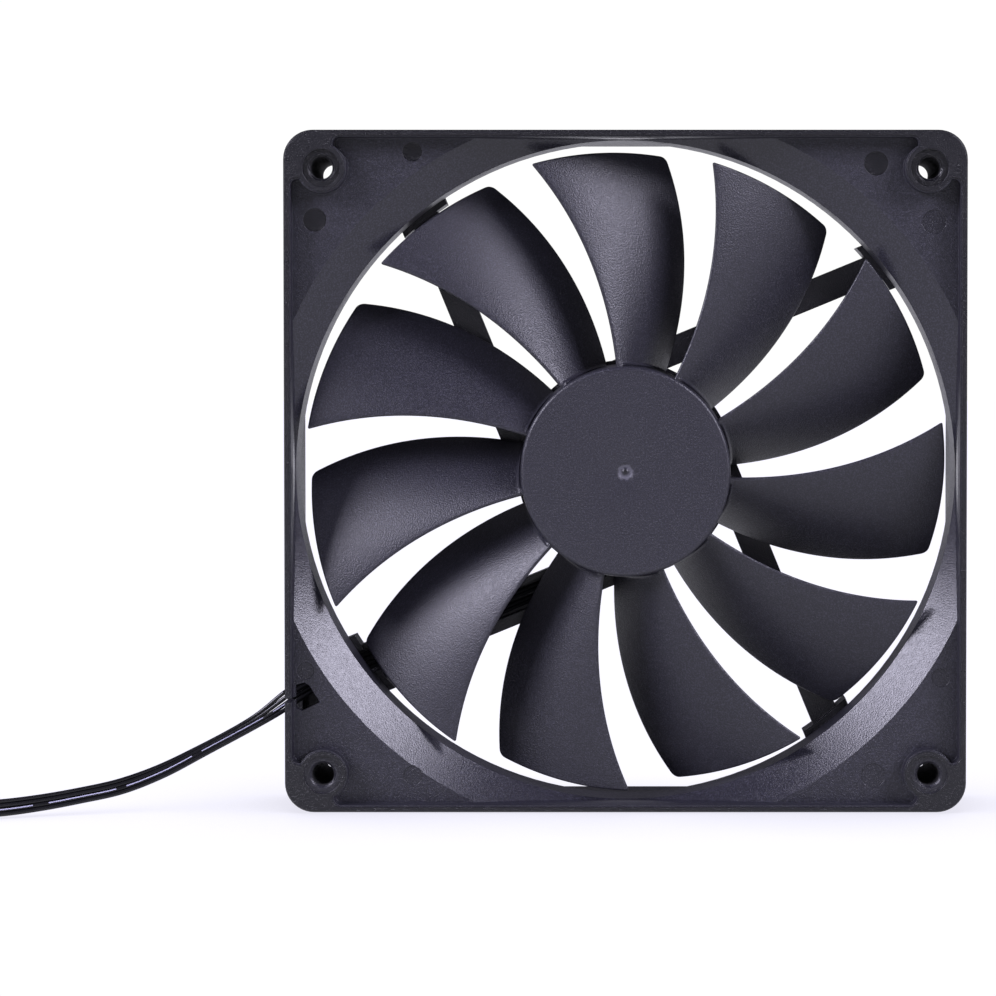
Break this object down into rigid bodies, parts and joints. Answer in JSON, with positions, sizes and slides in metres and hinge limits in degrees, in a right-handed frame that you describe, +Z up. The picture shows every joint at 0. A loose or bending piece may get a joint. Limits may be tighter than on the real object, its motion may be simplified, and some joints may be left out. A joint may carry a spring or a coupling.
{
  "type": "case fan",
  "caption": "Square 140 mm computer case fan standing upright, dark plastic frame and swept-blade impeller, with a flat black lead ending in a small connector.",
  "frame": {"origin": "middle of the frame's bottom face, at floor level", "axes": "+X to the right seen from the intake side, +Y along the shaft from intake to exhaust, +Z up"},
  "size_m": [0.2555, 0.0463, 0.14],
  "materials": {
    "frame_plastic": "fine spark-eroded texture, satin",
    "impeller_plastic": "fine spark-eroded texture, satin",
    "yoke_steel": "drawn steel",
    "magnet": "bonded ferrite",
    "brass": "turned",
    "shaft_steel": "ground",
    "clip_plastic": "natural",
    "bronze": "sintered, oily",
    "rubber": "matte",
    "pad_plastic": "natural",
    "lamination": "stacked sheet",
    "insulator_plastic": "natural nylon",
    "copper": "enamelled copper wire",
    "tin": "tinned",
    "board": "solder resist",
    "chip": "moulded",
    "ceramic": "fired",
    "label": "satin film, blank",
    "lead_pvc": "glossy insulation",
    "tie_pvc": "satin",
    "housing_nylon": "satin"
  },
  "bodies": {
    "housing": {"frame": "frame_plastic", "bearing_sleeve": "bronze", "oil_seal": "rubber", "thrust_pad": "pad_plastic", "bearing_cap": "frame_plastic", "stator_core": "lamination", "insulator_front": "insulator_plastic", "insulator_rear": "insulator_plastic", "winding_1": "copper", "winding_2": "copper", "winding_3": "copper", "winding_4": "copper", "winding_pins": "tin", "circuit_board": "board", "driver_chip": "chip", "hall_sensor": "chip", "board_capacitors": "ceramic", "rear_label": "label", "lead_wires": "lead_pvc", "lead_ribbon": "lead_pvc", "lead_coil": "lead_pvc", "lead_tail": "lead_pvc", "lead_tie": "tie_pvc", "connector_housing": "housing_nylon", "connector_terminals": "tin"},
    "rotor": {"impeller": "impeller_plastic", "rotor_yoke": "yoke_steel", "magnet_ring": "magnet", "shaft_boss": "brass", "shaft": "shaft_steel", "retaining_clip": "clip_plastic"}
  },
  "joints": [
    {"name": "impeller_spin", "type": "hinge", "parent": "housing", "child": "rotor", "pos_m": [0, 0, 0.07], "axis": [0, -1, 0], "continuous": true}
  ]
}
